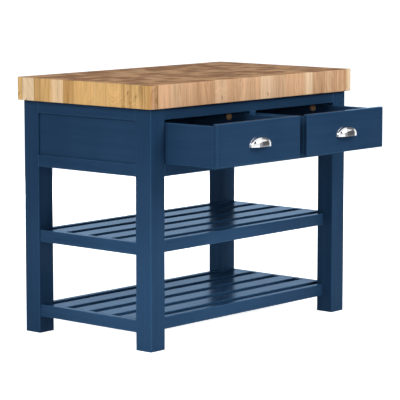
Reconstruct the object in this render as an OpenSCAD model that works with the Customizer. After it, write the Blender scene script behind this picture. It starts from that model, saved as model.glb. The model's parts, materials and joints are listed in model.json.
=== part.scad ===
// Kitchen island: a thick end-grain oak worktop on a painted four-legged frame,
// with a panelled apron, two inset drawers with cup pulls and two slatted shelves.
// Millimetres, +Z up, +X to the right and the drawer side towards -Y.
// The origin is on the floor, under the middle of the four legs.

/* [Overall] */
// Height of the worktop's upper face above the floor
island_h = 900; // [855:5:950]
// Length of the frame, over the legs
frame_l = 1060; // [900:10:1400]
// Depth of the frame, over the legs
frame_d = 600; // [560:10:700]

/* [Worktop] */
// Thickness of the worktop
top_t = 80; // [60:1:90]
// How far the worktop stands out beyond the legs, all round
top_overhang = 18; // [5:1:40]
// Radius of the worktop's upright corners
top_corner_r = 12; // [6:1:20]
// Radius of the worktop's eased edges
top_arris_r = 2; // [1:0.5:4]

/* [Legs] */
// Side of the square legs
leg_w = 70; // [68:1:90]
// Radius of the legs' upright edges
leg_arris_r = 3; // [1:0.5:5]

/* [Apron] */
// Height of the apron, from the worktop down to the underside of its bottom rails
apron_h = 230; // [200:5:260]
// Thickness of the apron's rails
rail_t = 22; // [20:1:28]
// Height of the apron's rails, but for the one over the drawers
rail_h = 42; // [36:1:50]
// Height of the rail over the drawers
front_top_rail_h = 40; // [36:1:48]
// Width of the post between the two drawers
muntin_w = 32; // [28:1:60]
// Thickness of the apron's recessed panels
panel_t = 9; // [6:0.5:10]
// How far the panels lie back from the rails' outer faces
panel_recess = 7.5; // [5:0.5:9]
// How far the panels reach into the grooves round them
panel_tongue = 8; // [5:0.5:8]

/* [Drawers] */
// Travel of a drawer, from shut to its stops
drawer_travel = 232; // [160:4:260]
// How far short of its stops each drawer stands
drawer_short_of_stop = 4; // [0:1:150]
// Gap above and below a drawer front in its opening
drawer_gap = 2; // [1:0.5:4]
// Gap beside a drawer front in its opening
drawer_side_gap = 3; // [1:0.5:4]
// Free space behind a shut drawer
drawer_rear_space = 78; // [40:1:120]
// Thickness of the drawer fronts
drawer_front_t = 18; // [16:1:24]
// Radius of the drawer fronts' upright edges
drawer_arris_r = 3.5; // [1:0.5:5]
// Thickness of the drawers' sides and backs
drawer_side_t = 13; // [12:1:18]
// How far the drawers' sides are lower than their fronts
drawer_side_drop = 7; // [6:1:20]
// Thickness of the drawers' bottoms
drawer_bottom_t = 6; // [4:0.5:9]

/* [Drawer stops] */
// Diameter of a stop peg's shank
peg_d = 12; // [8:1:14]
// Diameter of a stop peg's knob, inside the drawer
peg_knob_d = 25; // [18:1:26]
// Thickness of a stop peg's knob
peg_knob_t = 10; // [8:1:16]
// How far a knob's top lies below the upper edge of the drawer's side
peg_drop = 1; // [0.5:0.5:12]
// How far a stop peg stands out of the drawer's side, to meet the post in front of it
peg_reach = 8; // [6:1:9]

/* [Cup pulls] */
// Length of a cup pull, over its rim
pull_l = 106; // [86:1:130]
// Height of a cup pull, over its rim
pull_h = 35; // [32:1:52]
// How far a cup pull stands out from the drawer front
pull_depth = 26; // [18:1:32]
// How far the middle of a cup pull lies above the middle of its drawer
pull_rise = 1.5; // [0:0.5:20]
// Width of the flat rim round the cup
pull_rim_w = 1; // [0.5:0.25:3]
// Thickness of the rim
pull_rim_t = 1.5; // [1:0.25:3]
// Thickness of the cup's wall
pull_wall = 1.6; // [1.2:0.1:2.5]
// Distance between a pull's two screws
pull_screw_span = 64; // [48:1:70]
// Diameter of the pulls' screws
pull_screw_d = 4; // [3:0.5:5]

/* [Runners] */
// Thickness of the ledges that the drawers run on
runner_t = 18; // [14:1:22]
// How far the ledges reach in under the drawers
runner_ledge_w = 22; // [20:1:30]
// Height of the fences that guide the drawers
runner_fence_h = 40; // [20:1:60]
// Thickness of the outer fences
runner_fence_t = 18; // [12:1:24]
// Play between the drawers' sides and the fences
runner_play = 2; // [1:0.5:3]
// Height of the bars that keep the drawers from tipping
kicker_h = 26; // [22:1:30]
// Play between the drawers' sides and those bars
kicker_gap = 2; // [1:0.5:4]

/* [Shelves] */
// Height of the lower shelf's upper face
lower_shelf_z = 101; // [80:1:160]
// Height of the middle shelf's upper face
middle_shelf_z = 366; // [300:1:420]
// Height of the shelves' rails
shelf_rail_h = 42; // [34:1:50]
// Thickness of the shelves' rails
shelf_rail_t = 22; // [20:1:24]
// How far the long rails lie back from the legs' outer faces
shelf_long_setback = 42; // [20:1:44]
// How far the end rails lie back from the legs' outer faces
shelf_end_setback = 6; // [2:1:20]
// Number of slats in a shelf
slat_count = 4; // [3:1:5]
// Width of a slat
slat_w = 70; // [50:1:74]
// Thickness of a slat
slat_t = 20; // [16:1:24]

/* [Joints] */
// Length of the rails' tenons
tenon_l = 25; // [18:1:30]
// Thickness of the rails' tenons
tenon_t = 10; // [8:1:12]
// Shoulder above and below a rail's tenon
tenon_shoulder = 9; // [8.5:0.5:11]
// Clearance round a tenon or tongue in its mortice or groove
joint_gap = 0.2; // [0.1:0.05:0.4]
// Radius of the eased edges of rails, slats and drawers
arris_r = 1.5; // [0.5:0.25:2]

/* [Worktop fixings] */
// Length of a wooden button, from its rail to its free end
button_l = 42; // [34:1:50]
// Width of a wooden button
button_w = 30; // [24:1:40]
// Thickness of a wooden button
button_t = 20; // [18:1:21]
// Diameter of a button's screw
button_screw_d = 5; // [4:0.5:6]
// How far a button's screw goes into the worktop
button_screw_grip = 25; // [15:1:40]

/* [Hidden] */
SHELVES = ["lower_shelf", "middle_shelf"];
DRAWERS = ["drawer_left", "drawer_right"];
$fn = 32;

PAINT = [0.15, 0.26, 0.38];
OAK = [0.82, 0.66, 0.45];
PEG_OAK = [0.70, 0.48, 0.32];
CHROME = [0.80, 0.81, 0.83];
STEEL = [0.62, 0.63, 0.65];

// Frame
half_l = frame_l / 2;
half_d = frame_d / 2;
top_l = frame_l + 2 * top_overhang;
top_d = frame_d + 2 * top_overhang;
leg_h = island_h - top_t;
span_l = frame_l - 2 * leg_w;
span_d = frame_d - 2 * leg_w;
apron_z = leg_h - apron_h;
cut = 1; // how far a cut runs past the face that it opens

// Each rail that meets a leg: [underside, setback from the leg's outer face, thickness, height]
FRONT_RAILS = [[leg_h - front_top_rail_h, 0, rail_t, front_top_rail_h], [apron_z, 0, rail_t, rail_h]];
PANEL_RAILS = [[leg_h - rail_h, 0, rail_t, rail_h], [apron_z, 0, rail_t, rail_h]];
SHELF_TOPS = [lower_shelf_z, middle_shelf_z];
function shelf_rails(setback) =
    [for (z = SHELF_TOPS) [z - shelf_rail_h, setback, shelf_rail_t, shelf_rail_h]];
SHELF_LONG_RAILS = shelf_rails(shelf_long_setback);
SHELF_END_RAILS = shelf_rails(shelf_end_setback);

// Panels
panel_z = apron_z + rail_h - panel_tongue;
panel_h = apron_h - 2 * rail_h + 2 * panel_tongue;

// Drawer openings and drawers
opening_z = apron_z + rail_h;
opening_h = apron_h - rail_h - front_top_rail_h;
opening_w = (span_l - muntin_w) / 2;
drawer_w = opening_w - 2 * drawer_side_gap;
drawer_centre = (muntin_w + opening_w) / 2;
drawer_open = drawer_travel - drawer_short_of_stop;
drawer_l = frame_d - rail_t - drawer_rear_space;
drawer_seat_gap = 0.3; // running gap between a drawer's sides and its ledges
drawer_front_h = opening_h - 2 * drawer_gap;
side_top = opening_h - drawer_gap - drawer_side_drop;
side_h = side_top - drawer_seat_gap;
side_inset = drawer_w / 2 - drawer_side_t;
bottom_rise = 10; // from a side's lower edge to the groove for the bottom
bottom_z = drawer_seat_gap + bottom_rise;
bottom_groove = 6; // depth of the groove that holds the bottom
side_tongue_l = 8; // tongue of a side in the drawer front
side_tongue_t = 5;
side_tongue_z = bottom_z + drawer_bottom_t + 4;
side_tongue_h = side_top - side_tongue_z - 10;
side_tongue_x = side_inset + (drawer_side_t - side_tongue_t) / 2;
side_tongue_low = [side_tongue_x, drawer_front_t - side_tongue_l, side_tongue_z];
side_tongue_size = [side_tongue_t, side_tongue_l + cut, side_tongue_h];
dado = 5; // depth of the housing that holds a drawer's back
back_drop = 10; // how far a drawer's back is lower than its sides

// Stop pegs: at full travel they meet the back of the legs and of the post
peg_fit = 0.1; // clearance round a peg's shank, and between peg and post at full travel
peg_y = leg_w + drawer_travel + peg_d / 2 + peg_fit;
peg_z = side_top - peg_knob_d / 2 - peg_drop;
peg_dome_r = 18;

// Runners and kickers
runner_z = opening_z - runner_t;
kicker_z = opening_z + side_top + kicker_gap;
inner_l = frame_l - 2 * rail_t;
fence_step = drawer_side_gap - runner_play; // from a leg's or post's side to a fence's
inner_d = frame_d - 2 * rail_t;
stub_l = rail_t - panel_recess - panel_t - 1.5; // stub tenons of runners and kickers, clear of the panels
stub_w = 12;
stub_h = 8;
muntin_tenon_l = 8;
side_stub_x = span_l / 2 - runner_ledge_w / 2;
runner_stub_z = runner_z + (runner_t - stub_h) / 2;
kicker_stub_z = kicker_z + kicker_h - stub_h - 5;

// Shelves
shelf_inner_d = frame_d - 2 * (shelf_long_setback + shelf_rail_t);
shelf_inner_l = frame_l - 2 * (shelf_end_setback + shelf_rail_t);
slat_gap = (shelf_inner_d - slat_count * slat_w) / (slat_count + 1);
slat_tenon_l = 10;
slat_tenon_t = 8;
slat_shoulder = 10;
function slat_y(i) = -shelf_inner_d / 2 + i * slat_gap + (i - 0.5) * slat_w;

// Cup pulls
cup_l = pull_l - 2 * pull_rim_w;
cup_h = pull_h - pull_rim_w;
cup_outline_power = 2.25; // 2 is an ellipse, more is squarer
cup_section_power = 2.8;
cup_turns = 28; // facets from end to end
cup_leans = 8; // facets from the drawer front to the lip
boss_d = 8;
pull_z = opening_h / 2 - pull_h / 2 + pull_rise;
pull_screw_z = 12;
pull_screw_fit = 0.2;
pull_boss_grip = 9; // how far a screw goes into its boss
screw_head_t = 2.4;

// Worktop buttons sit in a groove near the upper edge of the top rails
button_tongue = 8;
button_tongue_t = 6;
button_tongue_drop = 10;
button_screw_fit = 0.2;
BUTTON_XS = [-span_l / 3, -span_l / 9, span_l / 9, span_l / 3];
BUTTON_YS = [-span_d / 4, span_d / 4];

// Basic shapes

module rounded_rect(w, h, r) {
    translate([r, 0]) square([w - 2 * r, h]);
    translate([0, r]) square([w, h - 2 * r]);
    for (x = [r, w - r], y = [r, h - r])
        translate([x, y]) circle(r);
}

// Boards with four eased long edges, named for the axis that they lie along
module board_x(low, size, r = arris_r) {
    translate(low) rotate([90, 0, 90]) linear_extrude(size.x) rounded_rect(size.y, size.z, r);
}

module board_y(low, size, r = arris_r) {
    translate(low + [0, size.y, 0]) rotate([90, 0, 0]) linear_extrude(size.y)
        rounded_rect(size.x, size.z, r);
}

module board_z(low, size, r = arris_r) {
    translate(low) linear_extrude(size.z) rounded_rect(size.x, size.y, r);
}

module box(low, size) {
    translate(low) cube(size);
}

// A box grown by the same gap on every side, for the hole that a box fits in
module hole_for(low, size, gap = joint_gap) {
    translate([for (v = low) v - gap]) cube([for (v = size) v + 2 * gap]);
}

// What is made for the left or front also serves the right or back
module mirrored_x(yes) {
    mirror([yes ? 1 : 0, 0, 0]) children();
}

module both_x() {
    children();
    mirror([1, 0, 0]) children();
}

module both_y() {
    children();
    mirror([0, 1, 0]) children();
}

module swap_xy() {
    mirror([1, -1, 0]) children();
}

// Worktop

// Slab with rounded upright corners and eased edges, centred on the Z axis
module eased_slab(l, w, t, corner, arris) {
    board_x([-l / 2 + corner, -w / 2, 0], [l - 2 * corner, w, t], arris);
    board_y([-l / 2, -w / 2 + corner, 0], [l, w - 2 * corner, t], arris);
    for (x = [-1, 1], y = [-1, 1])
        translate([x * (l / 2 - corner), y * (w / 2 - corner), 0]) rotate_extrude() {
            square([corner - arris, t]);
            translate([0, arris]) square([corner, t - 2 * arris]);
            for (z = [arris, t - arris])
                translate([corner - arris, z]) circle(arris);
        }
}

// Places a child on each button's rail: its origin on the rail's inner face, its +Y into the frame
module at_buttons() {
    both_y() for (x = BUTTON_XS)
        translate([x, -half_d + rail_t, leg_h]) children();
    both_x() swap_xy() for (y = BUTTON_YS)
        translate([y, -half_l + rail_t, leg_h]) children();
}

module worktop() {
    color(OAK) difference() {
        translate([0, 0, leg_h]) eased_slab(top_l, top_d, top_t, top_corner_r, top_arris_r);
        at_buttons() translate([0, button_l / 2, -cut])
            cylinder(d = button_screw_d + 2 * button_screw_fit, h = cut + button_screw_grip + joint_gap);
    }
}

// The groove that the buttons' tongues hold to, along a top rail of this length
module button_groove(length) {
    hole_for([-length / 2, rail_t - button_tongue, -button_tongue_drop - button_tongue_t],
        [length, button_tongue + cut, button_tongue_t]);
}

module worktop_buttons() {
    color(PEG_OAK) at_buttons() difference() {
        union() {
            box([-button_w / 2, 0, -button_t], [button_w, button_l, button_t]);
            box([-button_w / 2, -button_tongue, -button_tongue_drop - button_tongue_t],
                [button_w, button_tongue + cut, button_tongue_t]);
        }
        translate([0, button_l / 2, -button_t - cut])
            cylinder(d = button_screw_d + 2 * button_screw_fit, h = button_t + 2 * cut);
    }
}

module worktop_screws() {
    color(STEEL) at_buttons() translate([0, button_l / 2, -button_t]) {
        pan_head(button_screw_d * 2, screw_head_t);
        cylinder(d = button_screw_d, h = button_t + button_screw_grip);
    }
}

// Domed screw head with its flat face on z = 0 and its crown below
module pan_head(d, t) {
    crown_r = (d * d / 4 + t * t) / (2 * t);
    intersection() {
        translate([0, 0, crown_r - t]) sphere(crown_r, $fn = 48);
        translate([0, 0, -t]) cylinder(d = d, h = t);
    }
}

// Legs

// Tenon along +X from x = 0, for a rail whose outer face is y = 0 and whose underside is z = 0
module tenon(t, h, gap = 0) {
    box([-cut, (t - tenon_t) / 2 - gap, tenon_shoulder - gap],
        [cut + tenon_l + gap, tenon_t + 2 * gap, h - 2 * (tenon_shoulder - gap)]);
}

module mortice(rail) {
    translate([leg_w, rail[1], rail[0]]) mirror([1, 0, 0]) tenon(rail[2], rail[3], joint_gap);
}

// Groove in a leg for the edge of a panel
module leg_groove() {
    hole_for([leg_w - panel_tongue, panel_recess, panel_z], [panel_tongue + cut, panel_t, panel_h]);
}

// Leg with its outer corner at the origin: long rails meet its +X face, end rails its +Y face
module leg(apron_rails, panelled) {
    color(PAINT) difference() {
        board_z([0, 0, 0], [leg_w, leg_w, leg_h], leg_arris_r);
        for (rail = concat(apron_rails, SHELF_LONG_RAILS)) mortice(rail);
        for (rail = concat(PANEL_RAILS, SHELF_END_RAILS)) swap_xy() mortice(rail);
        if (panelled) leg_groove();
        swap_xy() leg_groove();
    }
}

module front_leg(right) {
    mirrored_x(right) translate([-half_l, -half_d, 0]) leg(FRONT_RAILS, false);
}

module back_leg(right) {
    mirrored_x(right) mirror([0, 1, 0]) translate([-half_l, -half_d, 0]) leg(PANEL_RAILS, true);
}

// Rails

// Rail along X with its outer face on y = 0, its underside on z = 0 and its middle at x = 0
module rail(span, t, h) {
    board_x([-span / 2, 0, 0], [span, t, h]);
    both_x() translate([span / 2, 0, 0]) tenon(t, h);
}

// Grooves for a panel above or below a rail
module panel_groove(span, z) {
    hole_for([-span / 2, panel_recess, z], [span, panel_t, panel_tongue + cut]);
}

// Stub tenon of a runner or kicker on the inner face of a front or back rail, along -Y from y = 0
module stub(gap = 0) {
    box([-stub_w / 2 - gap, -stub_l - gap, -gap], [stub_w + 2 * gap, stub_l + gap + cut, stub_h + 2 * gap]);
}

module stub_holes(z) {
    for (x = [-side_stub_x, 0, side_stub_x])
        translate([x, rail_t, z]) stub(joint_gap);
}

module top_rail(span, h, panelled) {
    difference() {
        rail(span, rail_t, h);
        translate([0, 0, h]) button_groove(span);
        if (panelled) panel_groove(span, -cut);
    }
}

module bottom_rail(span, panelled) {
    difference() {
        rail(span, rail_t, rail_h);
        if (panelled) panel_groove(span, rail_h - panel_tongue);
    }
}

module front_top_rail() {
    color(PAINT) translate([0, -half_d, leg_h - front_top_rail_h]) difference() {
        top_rail(span_l, front_top_rail_h, false);
        stub_holes(kicker_stub_z - leg_h + front_top_rail_h);
        muntin_tenon_hole(-cut);
    }
}

module front_bottom_rail() {
    color(PAINT) translate([0, -half_d, apron_z]) difference() {
        bottom_rail(span_l, false);
        stub_holes(runner_stub_z - apron_z);
        muntin_tenon_hole(rail_h - muntin_tenon_l - joint_gap);
    }
}

module back_top_rail() {
    color(PAINT) mirror([0, 1, 0]) translate([0, -half_d, leg_h - rail_h]) difference() {
        top_rail(span_l, rail_h, true);
        stub_holes(kicker_stub_z - leg_h + rail_h);
    }
}

module back_bottom_rail() {
    color(PAINT) mirror([0, 1, 0]) translate([0, -half_d, apron_z]) difference() {
        bottom_rail(span_l, true);
        stub_holes(runner_stub_z - apron_z);
    }
}

module end_top_rail(right) {
    color(PAINT) mirrored_x(right) translate([-half_l, 0, leg_h - rail_h])
        swap_xy() top_rail(span_d, rail_h, true);
}

module end_bottom_rail(right) {
    color(PAINT) mirrored_x(right) translate([-half_l, 0, apron_z])
        swap_xy() bottom_rail(span_d, true);
}

// Recessed panel along X, held in grooves on all four sides
module panel(span) {
    box([-span / 2 - panel_tongue, panel_recess, panel_z], [span + 2 * panel_tongue, panel_t, panel_h]);
}

module back_panel() {
    color(PAINT) mirror([0, 1, 0]) translate([0, -half_d, 0]) panel(span_l);
}

module end_panel(right) {
    color(PAINT) mirrored_x(right) translate([-half_l, 0, 0]) swap_xy() panel(span_d);
}

// Post between the drawers: its front part is tenoned into the front rails, and its back part,
// as deep as the legs, is what the inner stop pegs meet
module front_muntin() {
    color(PAINT) translate([0, -half_d, 0]) {
        board_z([-muntin_w / 2, 0, opening_z], [muntin_w, rail_t, opening_h]);
        box([-muntin_w / 2, rail_t - 2 * arris_r, opening_z],
            [muntin_w, leg_w - rail_t + 2 * arris_r, kicker_z - opening_z]);
        box([-stub_w / 2, (rail_t - tenon_t) / 2, opening_z - muntin_tenon_l],
            [stub_w, tenon_t, opening_h + 2 * muntin_tenon_l]);
    }
}

// Hole for the post's tenon, from this height up
module muntin_tenon_hole(z) {
    box([-stub_w / 2 - joint_gap, (rail_t - tenon_t) / 2 - joint_gap, z],
        [stub_w + 2 * joint_gap, tenon_t + 2 * joint_gap, muntin_tenon_l + joint_gap + cut]);
}

// Runners and kickers

// The stub tenons at both ends of a runner or kicker that runs from the front rail to the back rail
module end_stubs(x, z) {
    both_y() translate([x, -inner_d / 2, z]) stub();
}

// Ledge under a drawer's outer side, wide between the legs, with a fence beside the drawer
module side_runner(right) {
    ledge_x = -span_l / 2;
    color(PAINT) mirrored_x(right) {
        box([ledge_x, -inner_d / 2, runner_z], [runner_ledge_w, inner_d, runner_t]);
        box([-inner_l / 2, -span_d / 2, runner_z], [inner_l / 2 - span_l / 2 + cut, span_d, runner_t]);
        box([ledge_x - runner_fence_t, -span_d / 2, runner_z],
            [runner_fence_t + fence_step, span_d, runner_t + runner_fence_h]);
        end_stubs(-side_stub_x, runner_stub_z);
    }
}

module runner_centre() {
    fence_y = -half_d + leg_w;
    fence_w = muntin_w + 2 * fence_step;
    color(PAINT) {
        box([-muntin_w / 2 - runner_ledge_w, -inner_d / 2, runner_z],
            [muntin_w + 2 * runner_ledge_w, inner_d, runner_t]);
        box([-fence_w / 2, fence_y, runner_z],
            [fence_w, inner_d / 2 - fence_y, runner_t + runner_fence_h]);
        end_stubs(0, runner_stub_z);
    }
}

// Bar above a drawer's outer side, between the top rails
module side_kicker(right) {
    color(PAINT) mirrored_x(right) {
        box([-span_l / 2, -inner_d / 2, kicker_z], [runner_ledge_w, inner_d, kicker_h]);
        end_stubs(-side_stub_x, kicker_stub_z);
    }
}

module kicker_centre() {
    color(PAINT) {
        box([-muntin_w / 2 - runner_ledge_w, -inner_d / 2, kicker_z],
            [muntin_w + 2 * runner_ledge_w, inner_d, kicker_h]);
        end_stubs(0, kicker_stub_z);
    }
}

// Shelves

module shelf_long_rail(top, back) {
    color(PAINT) mirror([0, back ? 1 : 0, 0])
        translate([0, -half_d + shelf_long_setback, top - shelf_rail_h])
            rail(span_l, shelf_rail_t, shelf_rail_h);
}

// Stub tenon of a slat, along -Y from y = 0, for a slat whose upper face is z = 0
module slat_tenon(gap = 0) {
    width = slat_w - 2 * slat_shoulder;
    box([-width / 2 - gap, -slat_tenon_l - gap, -(slat_t + slat_tenon_t) / 2 - gap],
        [width + 2 * gap, slat_tenon_l + gap + cut, slat_tenon_t + 2 * gap]);
}

module shelf_end_rail(top, right) {
    color(PAINT) mirrored_x(right) translate([-half_l + shelf_end_setback, 0, top - shelf_rail_h])
        swap_xy() difference() {
            rail(span_d, shelf_rail_t, shelf_rail_h);
            for (i = [1 : slat_count])
                translate([slat_y(i), shelf_rail_t, shelf_rail_h]) slat_tenon(joint_gap);
        }
}

module slat(top, i) {
    color(PAINT) translate([0, slat_y(i), top]) {
        board_x([-shelf_inner_l / 2, -slat_w / 2, -slat_t], [shelf_inner_l, slat_w, slat_t]);
        both_x() translate([-shelf_inner_l / 2, 0, 0]) swap_xy() slat_tenon();
    }
}

// Drawers, each with its origin in the middle of its front's outer face, at the foot of the opening

module at_drawer(side) {
    translate([side * drawer_centre, -half_d - drawer_open, opening_z]) children();
}

module drawer_front() {
    color(PAINT) difference() {
        board_z([-drawer_w / 2, 0, drawer_gap], [drawer_w, drawer_front_t, drawer_front_h], drawer_arris_r);
        both_x() hole_for(side_tongue_low, side_tongue_size);
        hole_for([-side_inset - bottom_groove, drawer_front_t - bottom_groove, bottom_z],
            [2 * (side_inset + bottom_groove), bottom_groove + cut, drawer_bottom_t]);
        at_pull_screws() translate([0, 0, -cut])
            cylinder(d = pull_screw_d + 2 * pull_screw_fit, h = drawer_front_t + 2 * cut);
    }
}

// Right-hand side of a drawer
module drawer_side() {
    color(PAINT) difference() {
        union() {
            board_y([side_inset, drawer_front_t, drawer_seat_gap],
                [drawer_side_t, drawer_l - drawer_front_t, side_h]);
            box(side_tongue_low, side_tongue_size);
        }
        hole_for([side_inset - cut, drawer_front_t - cut, bottom_z],
            [bottom_groove + cut, drawer_l, drawer_bottom_t]);
        hole_for([side_inset - cut, drawer_l - 2 * drawer_side_t, bottom_z + drawer_bottom_t],
            [dado + cut, drawer_side_t, side_h]);
        translate([side_inset - cut, peg_y, peg_z]) rotate([0, 90, 0])
            cylinder(d = peg_d + 2 * peg_fit, h = drawer_side_t + 2 * cut);
    }
}

module drawer_back() {
    back_z = bottom_z + drawer_bottom_t + joint_gap;
    color(PAINT) board_x([-side_inset - dado, drawer_l - 2 * drawer_side_t, back_z],
        [2 * (side_inset + dado), drawer_side_t, side_top - back_drop - back_z], arris_r);
}

module drawer_bottom() {
    front_edge = drawer_front_t - bottom_groove;
    color(PAINT) box([-side_inset - bottom_groove, front_edge, bottom_z],
        [2 * (side_inset + bottom_groove), drawer_l - front_edge, drawer_bottom_t]);
}

// Knob inside the drawer, shank through its side, end standing out beyond it
module stop_peg() {
    translate([side_inset, peg_y, peg_z]) rotate([0, 90, 0]) {
        cylinder(d = peg_d, h = drawer_side_t + peg_reach);
        intersection() {
            translate([0, 0, peg_dome_r - peg_knob_t]) sphere(peg_dome_r, $fn = 64);
            translate([0, 0, -peg_knob_t]) cylinder(d = peg_knob_d, h = peg_knob_t);
        }
    }
}

module drawer_stop_pegs() {
    color(PEG_OAK) both_x() stop_peg();
}

// Cup pull: a dome of superellipse outline and section, open behind and below, on a thin rim

// What a sine or cosine becomes when its circle is squared off
function squared(v, power) = sign(v) * pow(abs(v), 2 / power);

function cup_outline(l, h) = [
    for (i = [0 : cup_turns])
        let (turn = 180 * i / cup_turns)
            [l / 2 * squared(cos(turn), cup_outline_power), h * squared(sin(turn), cup_outline_power)]
];

// Section of a dome as [out, up] points, from its top to its lip and back behind it. A dome that cuts
// runs on past the drawer front and the lip.
function cup_section(depth, h, past) = concat(
    [for (j = [0 : cup_leans])
        let (lean = 90 * j / cup_leans)
            [depth * squared(sin(lean), cup_section_power), h * squared(cos(lean), cup_section_power)]],
    past > 0 ? [[depth, -past], [-past, -past], [-past, h]] : [[0, 0]]
);

// Solid dome, its sections drawn in towards its two ends as the outline falls
module cup_dome(l, h, depth, past = 0) {
    outline = cup_outline(l, 1);
    count = len(cup_section(depth, h, past));
    last = 1 + (cup_turns - 1) * count;
    points = concat(
        [[l / 2, 0, 0]],
        [for (i = [1 : cup_turns - 1])
            for (p = cup_section(depth * outline[i].y, h * outline[i].y, past))
                [outline[i].x, -p.x, p.y]],
        [[-l / 2, 0, 0]]
    );
    faces = [
        for (i = [0 : cup_turns - 1], j = [0 : count - 1])
            let (k = (j + 1) % count, a = 1 + (i - 1) * count, b = a + count)
                i == 0 ? [0, b + k, b + j]
                : i == cup_turns - 1 ? [last, a + j, a + k]
                : [a + j, a + k, b + k, b + j]
    ];
    polyhedron(points, faces);
}

module cup_pull() {
    color(CHROME) translate([0, 0, pull_z]) {
        difference() {
            union() {
                cup_dome(cup_l, cup_h, pull_depth);
                rotate([90, 0, 0]) linear_extrude(pull_rim_t) polygon(cup_outline(pull_l, pull_h));
            }
            cup_dome(cup_l - 2 * pull_wall, cup_h - pull_wall, pull_depth - pull_wall, cut);
        }
        pull_bosses();
    }
}

// The two bosses inside the cup that its screws go into, from the drawer front into the cup's wall
module pull_bosses() {
    both_x() intersection() {
        cup_dome(cup_l - pull_wall, cup_h - pull_wall / 2, pull_depth - pull_wall / 2);
        translate([pull_screw_span / 2, 0, pull_screw_z]) rotate([90, 0, 0]) difference() {
            cylinder(d = boss_d, h = pull_depth, $fn = 24);
            translate([0, 0, -cut])
                cylinder(d = pull_screw_d + pull_screw_fit, h = cut + pull_boss_grip + joint_gap, $fn = 24);
        }
    }
}

// Places a child on each pull screw: its origin on the drawer front's inner face, its +Z out to the pull
module at_pull_screws() {
    both_x() translate([pull_screw_span / 2, drawer_front_t, pull_z + pull_screw_z]) rotate([90, 0, 0])
        children();
}

module pull_screws() {
    color(STEEL) at_pull_screws() {
        pan_head(pull_screw_d * 2, screw_head_t);
        cylinder(d = pull_screw_d, h = drawer_front_t + pull_boss_grip);
    }
}

// Assembly

worktop();
worktop_buttons();
worktop_screws();
front_leg(false);  // leg_front_left
front_leg(true);  // leg_front_right
back_leg(false);  // leg_back_left
back_leg(true);  // leg_back_right
front_top_rail();
front_bottom_rail();
front_muntin();
back_top_rail();
back_bottom_rail();
back_panel();
end_top_rail(false);  // left_top_rail
end_bottom_rail(false);  // left_bottom_rail
end_panel(false);  // left_panel
end_top_rail(true);  // right_top_rail
end_bottom_rail(true);  // right_bottom_rail
end_panel(true);  // right_panel
side_runner(false);  // runner_left
runner_centre();
side_runner(true);  // runner_right
side_kicker(false);  // kicker_left
kicker_centre();
side_kicker(true);  // kicker_right

for (s = [0 : len(SHELVES) - 1]) {
    shelf = SHELVES[s];
    top = SHELF_TOPS[s];
    shelf_long_rail(top, false);
    shelf_long_rail(top, true);
    shelf_end_rail(top, false);
    shelf_end_rail(top, true);
    for (i = [1 : slat_count])
        slat(top, i);
}

for (d = [0 : len(DRAWERS) - 1]) {
    drawer = DRAWERS[d];
    side = 2 * d - 1;
    at_drawer(side) drawer_front();
    at_drawer(side) mirror([1, 0, 0]) drawer_side();
    at_drawer(side) drawer_side();
    at_drawer(side) drawer_back();
    at_drawer(side) drawer_bottom();
    at_drawer(side) cup_pull();
    at_drawer(side) pull_screws();
    at_drawer(side) drawer_stop_pegs();
}
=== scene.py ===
"""Kitchen island: dresses the packed frame in its finishes, and adds the glued oak worktop, the cup pulls and
the screws as modelled pieces, with a plain studio and the camera.

Lengths are metres, +Z up, with the drawers towards -Y and the origin on the floor in the middle of the legs.
"""

import json
import math

import bmesh
import bpy
from bpy.props import FloatProperty, FloatVectorProperty, IntProperty, PointerProperty
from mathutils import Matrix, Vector


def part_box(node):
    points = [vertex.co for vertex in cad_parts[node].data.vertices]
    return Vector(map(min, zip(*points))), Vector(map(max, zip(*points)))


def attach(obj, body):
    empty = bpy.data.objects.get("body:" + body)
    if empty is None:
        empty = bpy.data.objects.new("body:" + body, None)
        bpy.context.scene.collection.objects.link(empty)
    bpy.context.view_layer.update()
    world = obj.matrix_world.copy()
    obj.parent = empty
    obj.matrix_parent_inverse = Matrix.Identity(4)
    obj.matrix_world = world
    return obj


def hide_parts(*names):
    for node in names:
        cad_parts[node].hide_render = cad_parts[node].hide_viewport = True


bl_info = {
    "name": "Kitchen Island",
    "version": (1, 0, 0),
    "blender": (4, 5, 0),
    "location": "3D View > Sidebar > Island",
    "description": "Finishes and fittings of a kitchen island with an oak worktop and two drawers",
    "category": "Object",
}

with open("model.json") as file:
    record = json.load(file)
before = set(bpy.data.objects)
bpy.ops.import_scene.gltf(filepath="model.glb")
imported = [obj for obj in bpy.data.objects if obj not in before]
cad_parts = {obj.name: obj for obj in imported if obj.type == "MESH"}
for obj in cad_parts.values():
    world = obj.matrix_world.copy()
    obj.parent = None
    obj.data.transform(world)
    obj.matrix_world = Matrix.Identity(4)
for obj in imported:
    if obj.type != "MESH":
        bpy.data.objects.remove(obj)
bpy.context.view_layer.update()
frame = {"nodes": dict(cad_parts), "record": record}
NODES = frame["nodes"]
DRAWERS = ("drawer_left", "drawer_right")
WHITE = (1.0, 1.0, 1.0)
BLACK = (0.0, 0.0, 0.0)
X_AXIS, Y_AXIS, Z_AXIS = range(3)

# Vertices of a CAD node that lie this close are one, in metres
SAME_POINT = 1e-6

# Worktop: blocks beyond the slab's size, so that uneven ones still cover it
SPARE_COLUMNS, SPARE_ROWS = 3.0, 2.0
# What keeps the random numbers of the rows, and of the blocks' hearts, apart from each other
ROW_NUMBERS, HEART_NUMBERS = 1000.0, 5000.0
# How far a block lies from the heart of its tree, at the least and at the most
HEART_DISTANCE = (0.035, 0.150)

# Cup pulls: sections, points of each wall, the shortest edge in metres and the angle of a crisp edge
OUTLINE_STEPS, SECTION_STEPS = 72, 20
FINEST_EDGE = 2e-5
CRISP = 50.0

# Studio: how far the camera sees, and the middle of the island and of the open drawers' pulls
VIEW_END = 200.0
MIDDLE = (0.0, 0.0, 0.45)
PULLS = Vector((0.0, -0.55, 0.70))

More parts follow.
